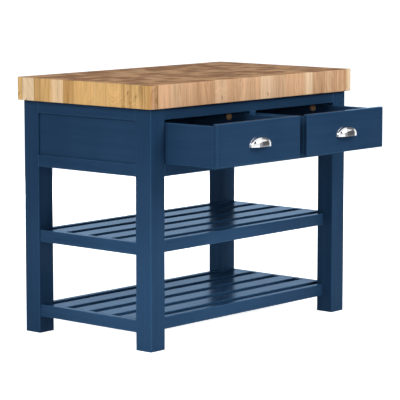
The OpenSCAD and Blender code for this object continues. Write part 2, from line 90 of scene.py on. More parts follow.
# Lamps: name, setting of its power, place, target, diameter, beam in degrees, whether it is mirrored
LAMPS = (
    ("front_lamp", "front_power", (0.8, -4.2, 3.2), MIDDLE, 2.6, 180.0, True),
    ("left_lamp", "left_power", (-4.2, -0.5, 3.2), MIDDLE, 2.6, 180.0, True),
    ("back_lamp", "back_power", (2.6, 3.4, 1.3), MIDDLE, 2.0, 180.0, False),
    ("fill_lamp", "fill_power", (-2.4, -2.35, 1.19), (0.0, -0.25, 0.78), 0.5, 30.0, False),
    ("low_front_lamp", "low_power", (-0.2, -1.7, 0.12), (-0.15, -0.3, 0.05), 0.7, 50.0, False),
    ("low_left_lamp", "low_power", (-1.8, -0.2, 0.12), (-0.5, -0.2, 0.05), 0.7, 50.0, False),
)

# Boards: name, azimuth and elevation seen from the pulls, distance, width, height, solid share, light
BOARDS = (
    ("brown_board", -32.0, 36.0, 3.0, 2.00, 2.20, 0.5, (0.070, 0.050, 0.040)),
    ("grey_board", 27.0, 3.0, 3.1, 1.60, 1.60, 0.3, (0.330, 0.310, 0.330)),
    ("dark_board", 53.0, 5.0, 3.0, 2.70, 1.50, 0.6, (0.120, 0.118, 0.125)),
    ("lip_board", 42.0, -9.0, 2.9, 3.00, 0.50, 0.6, (0.400, 0.430, 0.460)),
    ("upper_board", 86.0, 32.0, 3.2, 3.20, 2.40, 0.6, (0.180, 0.180, 0.195)),
    ("blue_board", 131.0, 8.0, 4.6, 5.00, 3.20, 0.8, (1.000, 1.510, 2.200)),
)


def length(name, description, default, low=0.0, high=10.0):
    """A property for a size in metres."""
    return FloatProperty(
        name=name, description=description, default=default, min=low, max=high,
        unit="LENGTH", subtype="DISTANCE", precision=4,
    )


def factor(name, description, default):
    """A property for a share from 0 to 1."""
    return FloatProperty(
        name=name, description=description, default=default, min=0.0, max=1.0, subtype="FACTOR",
    )


def number(name, description, default, low=0.0):
    """A property for a number with a lower limit."""
    return FloatProperty(name=name, description=description, default=default, min=low)


def angle(name, description, degrees):
    """A property for an angle."""
    return FloatProperty(
        name=name, description=description, default=math.radians(degrees), subtype="ANGLE",
    )


def colour(name, description, default):
    """A property for a linear colour."""
    return FloatVectorProperty(
        name=name, description=description, default=default, size=3, min=0.0, max=1.0, subtype="COLOR",
    )


class PaintSettings(bpy.types.PropertyGroup):
    """The satin paint on the timber frame and the drawers"""

    coat: colour("Paint", "Colour of the paint", (0.0118, 0.0360, 0.0780))
    worn: colour("Thin paint", "Colour of the paint where the brush left it thin", (0.0188, 0.0470, 0.0970))
    # Painted highlight: the edge colour is a paler blue blended onto every sharp edge, hollow ones too,
    # standing in for the light a rounded edge catches; eased_edge sets its width
    edge: colour("Edge", "Colour of the paint where it wears on an edge", (0.0450, 0.1400, 0.2600))
    roughness: factor("Roughness", "Roughness of the satin paint", 0.24)
    gloss: factor("Gloss", "Specular level of the paint", 0.02)
    brush_mark: length("Brush mark", "Width of a brush mark", 0.0012)
    brush_depth: length("Brush depth", "Depth of the brush marks", 0.00003)
    eased_edge: length("Eased edge", "Radius that the paint gives to a sharp edge", 0.0045)


class WorktopSettings(bpy.types.PropertyGroup):
    """The glued end-grain worktop"""

    block_length: length("Block length", "Mean length of a block, along the worktop", 0.060, 0.02, 0.2)
    block_width: length("Block width", "Mean width of a block, across the worktop", 0.046, 0.02, 0.2)
    spread: factor("Spread", "How much the blocks differ in size", 0.55)
    seam: length("Seam", "Width of the glue line between two blocks", 0.00025, 0.0001, 0.002)
    ring_pitch: length("Ring pitch", "Width of a growth ring", 0.0042, 0.001, 0.01)
    knot_size: length("Knot size", "Radius of a knot's dark heart", 0.005, 0.001, 0.02)
    seed: IntProperty(name="Seed", description="Seed of the blocks' sizes and tones", default=8, min=0)
    golden: colour("Golden oak", "Long grain on the worktop's ends", (0.640, 0.392, 0.165))
    tan: colour("Tan oak", "Long grain on the worktop's long sides", (0.625, 0.392, 0.240))
    pale: colour("Sapwood", "The palest blocks", (0.700, 0.520, 0.345))
    end_grain: colour("End grain", "Oiled end grain on top", (0.525, 0.305, 0.160))
    dark_grain: colour("Dark end grain", "The darkest blocks on top", (0.297, 0.155, 0.078))
    gloss: factor("Gloss", "Specular level of the oiled oak", 0.02)


class OakSettings(bpy.types.PropertyGroup):
    """The small turned and cut oak pieces"""

    light: colour("Oak", "Light part of the grain", (0.820, 0.500, 0.270))
    dark: colour("Dark grain", "Dark part of the grain", (0.420, 0.200, 0.090))
    roughness: factor("Roughness", "Roughness of the waxed oak", 0.42)


class PullSettings(bpy.types.PropertyGroup):
    """The drawers' cup pulls"""

    rim_width: length("Rim width", "Width of the flat rim round the cup", 0.001)
    rim_thickness: length("Rim thickness", "Thickness of the rim", 0.0015)
    wall: length("Wall", "Thickness of the cup's wall", 0.0016)
    edge: length("Edge", "Radius of the pull's edges", 0.0004)
    boss_width: length("Boss width", "Diameter of the bosses that the screws go into", 0.008)
    boss_height: length("Boss height", "Height of the bosses above the lip", 0.012)
    boss_reach: factor("Boss reach", "Share of the pull's depth that the bosses fill", 0.79)
    boss_taper: factor("Boss taper", "Outer over inner diameter of a boss", 0.88)
    screw_span: length("Screw span", "Distance between the two screws", 0.064)
    outline_power: number("Outline power", "Power of the outline, 2 for an ellipse", 2.25, 2.0)
    section_power: number("Section power", "Power of the section, 2 for an ellipse", 2.8, 2.0)
    chrome: colour("Chrome", "Colour of the chrome plate", (0.88, 0.88, 0.89))
    roughness: factor("Roughness", "Roughness of the polished plate", 0.08)


class ScrewSettings(bpy.types.PropertyGroup):
    """The cross-head screws of the pulls and of the worktop's buttons"""

    head_thickness: length("Head thickness", "Height of a pan head", 0.0024)
    head_ratio: number("Head ratio", "Head diameter over shank diameter", 2.0, 1.2)
    pitch: length("Pitch", "Distance from thread to thread", 0.0012)
    thread_depth: length("Thread depth", "Depth of the thread", 0.00035)
    threaded: factor("Threaded", "Share of the shank that is threaded", 0.72)
    thread_start: factor("Thread start", "Share of the shank between the head and the thread", 0.26)
    slot_length: factor("Slot length", "Length of the cross recess over the head's diameter", 0.52)
    slot_width: length("Slot width", "Width of the cross recess", 0.0009)
    slot_depth: length("Slot depth", "Depth of the cross recess", 0.0015)
    steel: colour("Steel", "Colour of the zinc plate", (0.55, 0.55, 0.56))


class StudioSettings(bpy.types.PropertyGroup):
    """Floor, lamps, background and camera"""

    floor: colour("Floor", "Colour of the floor", (0.85, 0.85, 0.85))
    floor_radius: length("Floor radius", "Radius of the round floor", 40.0, high=100.0)
    floor_glow: factor("Floor glow", "How brightly the floor shines beside the island where it is seen", 0.88)
    front_power: number("Front power", "Power of the large lamp in front", 167.0)
    left_power: number("Left power", "Power of the large lamp at the left", 127.0)
    back_power: number("Back power", "Power of the lamp behind, for the island's far sides", 70.0)
    fill_power: number("Fill power", "Power of the small lamp that reaches into the drawers", 0.45)
    low_power: number("Low power", "Power of each low lamp beside the legs", 1.7)
    ambient: factor("Ambient", "Strength of the light from all round", 0.27)
    ambient_tint: colour("Ambient colour", "Colour of the light from all round", (0.58, 0.80, 1.00))
    camera_distance: length(
        "Camera distance", "Distance from the origin to the camera along the floor", 7.5736, 1.0, 100.0,
    )
    camera_turn: angle("Camera turn", "Angle of the camera's place from the -Y axis towards -X", 48.564)
    camera_height: length("Camera height", "Height of the camera above the floor", 1.4306)
    camera_heading: angle("Camera heading", "Angle of the camera's view from the +Y axis towards +X", 48.875)
    camera_pitch: angle("Camera pitch", "How far the camera looks down", 7.454)
    sensor_width: number("Sensor width", "Width of the camera's sensor, in millimetres", 36.0, 1.0)
    lens: number("Lens", "Focal length of the camera, in millimetres", 190.37, 1.0)


SETTINGS = {
    "island_paint": PaintSettings,
    "island_worktop": WorktopSettings,
    "island_oak": OakSettings,
    "island_pulls": PullSettings,
    "island_screws": ScrewSettings,
    "island_studio": StudioSettings,
}


def live(sockets, name=None):
    """The first live socket, or the one with this name."""
    return next(socket for socket in sockets if socket.enabled and name in (None, socket.name))


class Graph:
    """Adds nodes to a tree. An input is named or numbered, and is a value or the socket that feeds it."""

    def __init__(self, tree):
        self.tree = tree

    def node(self, kind, inputs=None, **settings):
        """A new node of this kind."""
        node = self.tree.nodes.new(kind)
        for name, value in settings.items():
            setattr(node, name, value)
        for key, value in (inputs or {}).items():
            socket = node.inputs[key] if isinstance(key, int) else live(node.inputs, key)
            for item in value if isinstance(value, list) else [value]:
                if isinstance(item, bpy.types.NodeSocket):
                    self.tree.links.new(item, socket)
                else:
                    socket.default_value = (*item, 1.0) if socket.type == "RGBA" else item
        return node

    def out(self, kind, inputs=None, **settings):
        """The first live output of a new node."""
        return live(self.node(kind, inputs, **settings).outputs)

    def math(self, operation, a, b=0.0, c=0.0, clamp=False):
        """A maths node on two or three numbers."""
        return self.out("ShaderNodeMath", {0: a, 1: b, 2: c}, operation=operation, use_clamp=clamp)

    def plus(self, a, b):
        """The sum of two numbers."""
        return self.math("ADD", a, b)

    def minus(self, a, b):
        """A number less another."""
        return self.math("SUBTRACT", a, b)

    def times(self, a, b):
        """The product of two numbers."""
        return self.math("MULTIPLY", a, b)

    def over(self, a, b):
        """A number divided by another."""
        return self.math("DIVIDE", a, b)

    def times_plus(self, a, b, c, clamp=False):
        """The product of two numbers, plus a third."""
        return self.math("MULTIPLY_ADD", a, b, c, clamp)

    def flipped(self, share):
        """What a share leaves of one."""
        return self.minus(1.0, share)

    def vector(self, operation, a, b=(0.0, 0.0, 0.0)):
        """A maths node on one or two vectors, which gives a vector or a number."""
        return self.out("ShaderNodeVectorMath", {0: a, 1: b}, operation=operation)

    def scaled(self, vector, by):
        """A vector times a number or, part by part, times three numbers."""
        if isinstance(by, tuple):
            return self.vector("MULTIPLY", vector, by)
        return self.out("ShaderNodeVectorMath", {0: vector, "Scale": by}, operation="SCALE")

    def split(self, vector):
        """The X, Y and Z of a vector."""
        return self.node("ShaderNodeSeparateXYZ", {0: vector}).outputs

    def join(self, x=0.0, y=0.0, z=0.0):
        """A vector of three numbers."""
        return self.out("ShaderNodeCombineXYZ", {0: x, 1: y, 2: z})

    def ease(self, value, low, high, to_low=0.0, to_high=1.0):
        """A smooth step of a value from one range to another."""
        inputs = {"Value": value, "From Min": low, "From Max": high, "To Min": to_low, "To Max": to_high}
        return self.out("ShaderNodeMapRange", inputs, interpolation_type="SMOOTHSTEP")

    def spread(self, value, amount, base):
        """A base plus an amount times how far a value from 0 to 1 lies from its middle."""
        return self.times_plus(self.minus(value, 0.5), amount, base)

    def blend(self, amount, a, b, blend_type="MIX"):
        """A mix of two colours."""
        return self.out("ShaderNodeMix", {0: amount, 6: a, 7: b}, data_type="RGBA", blend_type=blend_type)

    def noise(self, vector, scale=1.0, detail=2.0, roughness=0.5):
        """Smooth noise from 0 to 1."""
        inputs = {"Vector": vector, "Scale": scale, "Detail": detail, "Roughness": roughness}
        return self.out("ShaderNodeTexNoise", inputs)

    def grain(self, vector, axis, along, across, detail=2.0, roughness=0.5):
        """Noise with this many features per metre along one axis and across it."""
        scale = tuple(along if i == axis else across for i in range(3))
        return self.noise(self.scaled(vector, scale), detail=detail, roughness=roughness)

    def attribute(self, name):
        """A vector stored on the mesh."""
        return self.node("ShaderNodeAttribute", attribute_name=name).outputs["Vector"]


def new_material(name):
    """A material without a shader, its graph, and the point on the piece in the frame's own metres."""
    material = bpy.data.materials.new(name)
    material.use_nodes = True
    material.node_tree.nodes.clear()
    graph = Graph(material.node_tree)
    return material, graph, graph.node("ShaderNodeTexCoord").outputs["Object"]


def finish_material(graph, inputs):
    """Ends a material in a principled shader with these inputs."""
    shader = graph.out("ShaderNodeBsdfPrincipled", inputs)
    graph.node("ShaderNodeOutputMaterial", {"Surface": shader})


def bump(graph, height, depth, **under):
    """A normal raised by a height from 0 to 1, this deep in metres."""
    return graph.out("ShaderNodeBump", {"Strength": 1.0, "Distance": depth, "Height": height, **under})


def paint_material(axis, settings):
    """Satin paint brushed along this axis of the board, with a painted highlight along its edges."""
    material, graph, place = new_material(f"satin_paint_{'xyz'[axis]}")
    per_mark = 1.0 / settings.brush_mark
    mark_stretch = 60.0
    brush = graph.grain(place, axis, per_mark / mark_stretch, per_mark, detail=3.0, roughness=0.55)
    grain = graph.grain(place, axis, 1.6, 55.0, detail=3.0, roughness=0.6)
    cloud = graph.noise(place, scale=4.5)
    thin = graph.times_plus(brush, 0.22, graph.times(grain, 0.38))
    thin = graph.times_plus(cloud, 0.40, thin, clamp=True)
    skin = graph.blend(graph.ease(thin, 0.30, 0.72), settings.coat, settings.worn)
    sheen = graph.spread(cloud, 0.10, settings.roughness)
    sheen = graph.spread(brush, 0.10, sheen)
    stipple = graph.noise(place, scale=900.0, detail=1.0)
    relief = graph.times_plus(stipple, 0.25, graph.times(brush, 0.75))
    eased = graph.out("ShaderNodeBevel", {"Radius": settings.eased_edge})
    flat = graph.node("ShaderNodeNewGeometry").outputs["Normal"]
    # Painted highlight: where the bevelled normal bends away from the flat one, the paint turns to the paler
    # edge colour
    bend = graph.vector("DOT_PRODUCT", eased, flat)
    skin = graph.blend(graph.ease(bend, 1.0, 0.80), skin, settings.edge)
    finish_material(graph, {
        "Base Color": skin,
        "Roughness": sheen,
        "Specular IOR Level": settings.gloss,
        "Normal": bump(graph, relief, settings.brush_depth, Normal=eased),
    })
    return material


def oak_material(name, axis, settings):
    """Plain waxed oak with its grain along this axis."""
    material, graph, place = new_material(name)
    warp = graph.grain(place, axis, 8.0, 60.0)
    rings = graph.grain(place, axis, 12.0, 420.0, detail=4.0, roughness=0.6)
    pores = graph.grain(place, axis, 90.0, 2600.0)
    tone = graph.times_plus(rings, 0.6, graph.times(warp, 0.4))
    wood = graph.blend(graph.ease(tone, 0.35, 0.65), settings.dark, settings.light)
    pore = graph.ease(pores, 0.36, 0.44)
    wood = graph.blend(graph.times(graph.flipped(pore), 0.55), wood, settings.dark)
    finish_material(graph, {
        "Base Color": wood,
        "Roughness": graph.times_plus(pore, -0.12, settings.roughness + 0.12),
        "Specular IOR Level": 0.4,
        "Normal": bump(graph, pore, 0.00008),
    })
    return material


def dimmed(colour_in, share):
    """This share of a plain colour."""
    return tuple(value * share for value in colour_in)


def clouded(graph, place, base, dark, scale, detail=2.0):
    """A plain colour that noise darkens in places, down to this share of itself."""
    cloud = graph.noise(place, scale, detail)
    return graph.blend(graph.ease(cloud, 0.3, 0.7), dimmed(base, dark), base)


def darkened(graph, colour_in, shade):
    """A colour times a shade."""
    return graph.blend(1.0, colour_in, graph.join(shade, shade, shade), "MULTIPLY")


def knot_distance(graph, from_middle, tone, on_end):
    """How far a point of a side face lies from the place of its block's knot."""
    lean, shift, flatness = 0.3, 0.06, 0.45
    x, y, z = graph.split(from_middle)
    across = graph.plus(graph.times(graph.flipped(on_end), x), graph.times(on_end, y))
    across = graph.times_plus(z, lean, across)
    up = graph.times(graph.spread(tone, shift, z), flatness)
    return graph.vector("LENGTH", graph.join(across, up))


def growth_rings(graph, place, from_middle, own, shift, bend, settings):
    """How dark the early wood is at a point, and how dark its years are there."""
    most_lean, wander = 0.7, 0.016
    skew = graph.times_plus(shift, 2.0, -1.0)
    skew = graph.times(skew, graph.times(skew, skew))
    lean = graph.times(graph.split(from_middle)[Z_AXIS], graph.times(skew, most_lean))
    warp = graph.grain(own, Z_AXIS, 9.0, 16.0)
    flat = graph.scaled(graph.vector("SUBTRACT", place, graph.attribute("heart")), (1.0, 1.0, 0.0))
    reach = graph.spread(warp, wander, graph.vector("LENGTH", flat))
    reach = graph.plus(graph.plus(reach, lean), bend)
    ring = graph.over(reach, settings.ring_pitch)
    year = graph.join(graph.math("FLOOR", ring), shift)
    year = graph.out("ShaderNodeTexWhiteNoise", {"Vector": year}, noise_dimensions="3D")
    season = graph.math("FRACT", ring)
    early = graph.ease(season, 0.02, 0.50, 1.0, 0.0)
    early = graph.times(early, graph.ease(season, 0.0, 0.04))
    early = graph.times(early, graph.times_plus(year, 0.7, 0.3))
    bands = graph.join(graph.times(reach, 130.0), graph.times(shift, 40.0))
    return early, graph.noise(bands)


def long_grain(graph, own, block, rings, knot, on_end, settings):
    """Colour of the worktop's sides, where the grain stands upright."""
    tone, hue, _ = graph.split(block)
    early, band = rings
    warm = graph.blend(on_end, settings.tan, settings.golden)
    wood = graph.blend(graph.ease(tone, 0.82, 0.92, 0.0, 0.75), warm, settings.pale)
    cast = graph.blend(hue, (1.0, 0.89, 0.77), (1.0, 0.99, 0.95))
    wood = graph.blend(0.75, wood, cast, "MULTIPLY")
    shade = graph.spread(tone, 0.34, 1.03)
    for pitch, lengthwise, amount in ((55.0, 2.0, 0.45), (170.0, 4.0, 0.60), (520.0, 8.0, 0.40)):
        shade = graph.spread(graph.grain(own, Z_AXIS, lengthwise, pitch, roughness=0.6), amount, shade)
    shade = graph.spread(band, 0.45, shade)
    shade = graph.times_plus(early, -0.20, shade)
    pores = graph.grain(own, Z_AXIS, 28.0, 1500.0, detail=1.0)
    shade = graph.plus(graph.ease(pores, 0.30, 0.40, -0.16, 0.0), shade)
    wood = darkened(graph, wood, shade)
    rusty = graph.blend(1.0, wood, (1.0, 0.80, 0.58), "MULTIPLY")
    wood = graph.blend(graph.ease(shade, 0.62, 0.98, 0.8, 0.0), wood, rusty)
    return graph.blend(knot, wood, (0.190, 0.085, 0.035))


def cross_grain(graph, own, block, rings, settings):
    """Colour of the end grain on top and underneath, and how deep its pores are."""
    tone, hue, _ = graph.split(block)
    early, band = rings
    wood = graph.blend(graph.ease(tone, 0.05, 0.95), settings.dark_grain, settings.end_grain)
    cast = graph.blend(hue, (1.0, 0.88, 0.76), (1.0, 0.98, 0.94))
    wood = graph.blend(0.7, wood, cast, "MULTIPLY")
    figure = graph.noise(own, scale=34.0, detail=3.0)
    fleck = graph.noise(own, scale=130.0, detail=3.0, roughness=0.6)
    shade = graph.spread(figure, 0.55, 1.06)
    shade = graph.spread(band, 0.38, shade)
    shade = graph.spread(fleck, 0.55, shade)
    shade = graph.times_plus(early, -0.26, shade)
    pits = graph.out("ShaderNodeTexVoronoi", {"Vector": own, "Scale": 1300.0})
    pit = graph.times(graph.ease(pits, 0.18, 0.36, 1.0, 0.0), graph.times_plus(early, 0.8, 0.15))
    shade = graph.times_plus(pit, -0.35, shade)
    return darkened(graph, wood, shade), pit


def worktop_material(settings):
    """Glued oak blocks: rings and pores on top, long grain on the sides, with a tone for each block."""
    material, graph, place = new_material("glued_oak_blocks")
    block = graph.attribute("block")
    tone, hue, shift = graph.split(block)
    normal = graph.split(graph.node("ShaderNodeTexCoord").outputs["Normal"])
    on_top = graph.ease(graph.math("ABSOLUTE", normal[Z_AXIS]), 0.55, 0.85)
    on_end = graph.ease(graph.math("ABSOLUTE", normal[X_AXIS]), 0.15, 0.95)
    pattern_gap = 7.0
    own = graph.vector("ADD", place, graph.scaled(block, pattern_gap))

    from_middle = graph.vector("SUBTRACT", place, graph.attribute("middle"))
    away = knot_distance(graph, from_middle, tone, on_end)
    knotty = graph.ease(hue, 0.90, 0.91)
    bend_reach, bend_depth = settings.knot_size * 5.0, settings.knot_size * 2.5
    bend = graph.times(graph.ease(away, 0.0, bend_reach, bend_depth, 0.0), knotty)
    knot = graph.times(graph.ease(away, 0.0, settings.knot_size, 0.80, 0.0), knotty)

    rings = growth_rings(graph, place, from_middle, own, shift, bend, settings)
    side = long_grain(graph, own, block, rings, knot, on_end, settings)
    top, pit = cross_grain(graph, own, block, rings, settings)
    fibre = graph.grain(own, Z_AXIS, 7.0, 520.0, detail=4.0, roughness=0.65)
    finish_material(graph, {
        "Base Color": graph.blend(on_top, side, top),
        "Roughness": graph.times_plus(on_top, 0.38, 0.55),
        "Specular IOR Level": settings.gloss,
        "Normal": bump(graph, graph.blend(on_top, fibre, graph.flipped(pit)), 0.00010),
    })
    return material


def metal_material(name, base, roughness, mark):
    """Plated metal with fine polishing marks of this width."""
    material, graph, place = new_material(name)
    rub = graph.grain(place, X_AXIS, 0.25 / mark, 1.0 / mark, detail=3.0)
    finish_material(graph, {
        "Base Color": clouded(graph, place, base, dark=0.94, scale=60.0),
        "Metallic": 1.0,
        "Roughness": graph.spread(rub, 0.06, roughness),
        "Normal": bump(graph, rub, 0.000004),
    })
    return material


def new_object(name, data):
    """An object in the scene."""
    thing = bpy.data.objects.new(name, data)
    bpy.context.scene.collection.objects.link(thing)
    return thing


def new_piece(name, mesh, body):
    """A piece of the object that is in place already, riding on its body."""
    piece = new_object(name, mesh)
    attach(piece, body)
    return piece


def mesh_of(form, name, *materials):
    """The mesh that a bmesh makes, with these materials. It ends the bmesh."""
    mesh = bpy.data.meshes.new(name)
    form.to_mesh(mesh)
    form.free()
    for material in materials:
        mesh.materials.append(material)
    return mesh


def dress(node, material):
    """Gives a CAD node a material in place of its own."""
    materials = NODES[node].data.materials
    materials.clear()
    materials.append(material)


def nodes_in_slot(slot):
    """The CAD nodes that take this finish."""
    return [part["node"] for part in frame["record"]["subparts"] if part["material_slot"] == slot]


def merged(node):
    """A closed copy of a CAD node's loose triangles."""
    form = bmesh.new()
    form.from_mesh(NODES[node].data)
    bmesh.ops.remove_doubles(form, verts=form.verts, dist=SAME_POINT)
    return form


def solids(node):
    """The lowest and highest corner of each separate solid in a CAD node."""
    form = merged(node)
    left = set(form.verts)
    boxes = []
    while left:
        island = [left.pop()]
        for vert in island:
            near = {edge.other_vert(vert) for edge in vert.link_edges} & left
            left -= near
            island += near
        boxes.append([Vector(pick(vert.co[i] for vert in island) for i in range(3)) for pick in (min, max)])
    form.free()
    return boxes


def geometry_tree(name, numbers, **others):
    """A geometry tree with these inputs, as its graph and its input sockets by name."""
    tree = bpy.data.node_groups.new(name, "GeometryNodeTree")
    kinds = {"Geometry": "Geometry", **dict.fromkeys(numbers, "Float"), **others, "Material": "Material"}
    for label, kind in kinds.items():
        tree.interface.new_socket(name=label, in_out="INPUT", socket_type=f"NodeSocket{kind}")
    tree.interface.new_socket(name="Geometry", in_out="OUTPUT", socket_type="NodeSocketGeometry")
    graph = Graph(tree)
    given = graph.node("NodeGroupInput").outputs
    return graph, {label: given[label] for label in kinds}


def own_values(settings, labels):
    """The settings that a tree's inputs are named after, by label."""
    return {label: getattr(settings, label.lower().replace(" ", "_")) for label in labels}


def end_tree(graph, geometry, material):
    """Ends a tree in real geometry with its material."""
    real = graph.out("GeometryNodeRealizeInstances", {"Geometry": geometry})
    finished = graph.out("GeometryNodeSetMaterial", {"Geometry": real, "Material": material})
    graph.node("NodeGroupOutput", {"Geometry": finished})


def grow(name, seed_mesh, tree, values):
    """The plain mesh that a geometry tree makes of a mesh, with these values for its inputs."""
    holder = new_object(name, seed_mesh)
    modifier = holder.modifiers.new(tree.name, "NODES")
    modifier.node_group = tree
    for item in tree.interface.items_tree:
        if item.in_out == "INPUT" and item.name in values:
            modifier[item.identifier] = values[item.name]
    depsgraph = bpy.context.evaluated_depsgraph_get()
    mesh = bpy.data.meshes.new_from_object(holder.evaluated_get(depsgraph), depsgraph=depsgraph)
    holder.modifiers.remove(modifier)
    bpy.data.objects.remove(holder)
    mesh.name = name
    if not mesh.polygons:
        raise RuntimeError(f"the tree {tree.name} made no faces for {name}")
    return mesh


def smooth(mesh, degrees):
    """Smooth shading, with edges sharper than this kept crisp."""
    mesh.shade_smooth()
    mesh.set_sharp_from_angle(angle=math.radians(degrees))


def boolean(graph, operation, inputs):
    """The mesh that a boolean makes."""
    return graph.out("GeometryNodeMeshBoolean", inputs, operation=operation, solver="MANIFOLD")


def lifted(graph, geometry, height):
    """Geometry raised by a height."""
    inputs = {"Geometry": geometry, "Translation": graph.join(z=height)}
    return graph.out("GeometryNodeTransform", inputs)


def island_sum(graph, value, island):
    """The sum of a vector over the points of each island."""
    inputs = {"Value": value, "Group ID": island}
    node = graph.node("GeometryNodeAccumulateField", inputs, data_type="FLOAT_VECTOR", domain="POINT")
    return node.outputs["Total"]


def random_between(graph, low, high, draw, seed):
    """A random number for each whole number."""
    inputs = {"Min": low, "Max": high, "ID": draw, "Seed": seed}
    return graph.out("FunctionNodeRandomValue", inputs, data_type="FLOAT")


def block_edge(graph, step, count, pitch, draw, given):
    """Where the joint before block number step lies, on an axis through the middle of count blocks."""
    middle = graph.minus(step, graph.times(count, 0.5))
    wander = graph.times(random_between(graph, -0.5, 0.5, draw, given["Seed"]), given["Spread"])
    return graph.times(graph.plus(middle, wander), pitch)


def worktop_tree():
    """Cuts a slab into rows of blocks of uneven size, with a glue line between each two."""
    graph, given = geometry_tree("Worktop blocks", (
        "Length", "Depth", "Middle height", "Thickness", "Block length", "Block width", "Spread", "Seam",
    ), Seed="Int")
    seed = given["Seed"]
    columns = graph.math("CEIL", graph.over(given["Length"], given["Block length"]))
    columns = graph.plus(columns, SPARE_COLUMNS)
    rows = graph.math("CEIL", graph.over(given["Depth"], given["Block width"]))
    rows = graph.plus(rows, SPARE_ROWS)
    index = graph.out("GeometryNodeInputIndex")
    row = graph.math("FLOOR", graph.over(index, columns))
    column = graph.minus(index, graph.times(row, columns))
    stagger = graph.times(graph.math("FLOORED_MODULO", row, 2.0), 0.5)

    x_edges, y_edges = [], []
    for step in (0.0, 1.0):
        place = graph.plus(column, step)
        draw = graph.times_plus(row, ROW_NUMBERS, place)
        place = graph.plus(place, stagger)
        x_edges.append(block_edge(graph, place, columns, given["Block length"], draw, given))
        place = graph.plus(row, step)
        y_edges.append(block_edge(graph, place, rows, given["Block width"], place, given))
    centre = [graph.times(graph.plus(low, high), 0.5) for low, high in (x_edges, y_edges)]
    size = [graph.minus(graph.minus(high, low), given["Seam"]) for low, high in (x_edges, y_edges)]

    points = graph.out("GeometryNodePoints", {
        "Count": graph.times(columns, rows),
        "Position": graph.join(*centre, given["Middle height"]),
    })
    blocks = graph.out("GeometryNodeInstanceOnPoints", {
        "Points": points,
        "Instance": graph.out("GeometryNodeMeshCube", {"Size": (1.0, 1.0, 1.0)}),
        "Scale": graph.join(*size, graph.times(given["Thickness"], 2.0)),
    })
    blocks = graph.out("GeometryNodeRealizeInstances", {"Geometry": blocks})
    cut = boolean(graph, "INTERSECT", {1: [given["Geometry"], blocks]})

    island = graph.out("GeometryNodeInputMeshIsland")
    total = island_sum(graph, graph.out("GeometryNodeInputPosition"), island)
    middle = graph.vector("DIVIDE", total, island_sum(graph, (1.0, 1.0, 1.0), island))
    turn = random_between(graph, 0.0, math.tau, island, seed)
    away = random_between(graph, *HEART_DISTANCE, graph.plus(island, HEART_NUMBERS), seed)
    aside = graph.join(graph.math("COSINE", turn), graph.math("SINE", turn))
    heart = graph.vector("ADD", middle, graph.scaled(aside, away))
    inputs = {"Min": (0, 0, 0), "Max": (1, 1, 1), "ID": island, "Seed": seed}
    own = graph.out("FunctionNodeRandomValue", inputs, data_type="FLOAT_VECTOR")
    for name, value in (("middle", middle), ("heart", heart), ("block", own)):
        inputs = {"Geometry": cut, "Name": name, "Value": value}
        cut = graph.out("GeometryNodeStoreNamedAttribute", inputs, data_type="FLOAT_VECTOR", domain="POINT")
    end_tree(graph, cut, given["Material"])
    return graph.tree


def screw_tree():
    """Puts a cross-head screw on each point: its head below z = 0, its threaded shank above."""
    graph, given = geometry_tree("Cross-head screws", (
        "Shank diameter", "Shank length", "Head diameter", "Head thickness", "Pitch", "Thread depth",
        "Threaded", "Thread start", "Slot length", "Slot width", "Slot depth",
    ), Turn="Rotation")
    head_r = graph.times(given["Head diameter"], 0.5)
    head_t = given["Head thickness"]
    head = graph.out("GeometryNodeMeshCone", {
        "Vertices": 32, "Side Segments": 6, "Radius Top": 0.0, "Radius Bottom": head_r, "Depth": head_t,
    })
    x, y, _ = graph.split(graph.out("GeometryNodeInputPosition"))
    reach = graph.math("SQRT", graph.plus(graph.times(x, x), graph.times(y, y)))
    share = graph.over(reach, head_r)
    crown = graph.times(head_t, graph.minus(graph.times(share, share), 1.0))
    head = graph.out("GeometryNodeSetPosition", {"Geometry": head, "Position": graph.join(x, y, crown)})

    shank_length, thread_depth = given["Shank length"], given["Thread depth"]
    shank_r = graph.minus(graph.times(given["Shank diameter"], 0.5), thread_depth)
    inputs = {"Vertices": 16, "Radius": shank_r, "Depth": shank_length}
    shank = graph.out("GeometryNodeMeshCylinder", inputs)
    body = boolean(graph, "UNION", {1: [head, lifted(graph, shank, graph.times(shank_length, 0.5))]})

    slot_length = graph.times(given["Head diameter"], given["Slot length"])
    slot_width, slot_height = given["Slot width"], graph.times(given["Slot depth"], 2.0)
    for size in ((slot_length, slot_width), (slot_width, slot_length)):
        bar = graph.out("GeometryNodeMeshCube", {"Size": graph.join(*size, slot_height)})
        bar = lifted(graph, bar, graph.times(head_t, -1.0))
        body = boolean(graph, "DIFFERENCE", {"Mesh 1": body, "Mesh 2": bar})

    thread_length = graph.times(shank_length, given["Threaded"])
    ridge = graph.out("GeometryNodeCurveSpiral", {
        "Resolution": 12, "Rotations": graph.over(thread_length, given["Pitch"]),
        "Start Radius": shank_r, "End Radius": shank_r, "Height": thread_length,
    })
    profile = graph.out("GeometryNodeCurvePrimitiveCircle", {"Resolution": 4, "Radius": thread_depth})
    inputs = {"Curve": ridge, "Profile Curve": profile, "Fill Caps": True}
    thread = graph.out("GeometryNodeCurveToMesh", inputs)
    thread = lifted(graph, thread, graph.times(shank_length, given["Thread start"]))

    screw = graph.out("GeometryNodeJoinGeometry", {"Geometry": [body, thread]})
    points = graph.out("GeometryNodeMeshToPoints", {"Mesh": given["Geometry"]})
    screws = graph.out("GeometryNodeInstanceOnPoints", {
        "Points": points, "Instance": screw, "Rotation": given["Turn"],
    })
    end_tree(graph, screws, given["Material"])
    return graph.tree


def superellipse(turn, first, second, power):
    """The point at this angle on the upper half of a superellipse with these two half axes."""
    shares = math.cos(turn), max(math.sin(turn), 0.0)
    squared = [math.copysign(abs(share) ** (2.0 / power), share) for share in shares]
    return first * squared[0], second * squared[1]


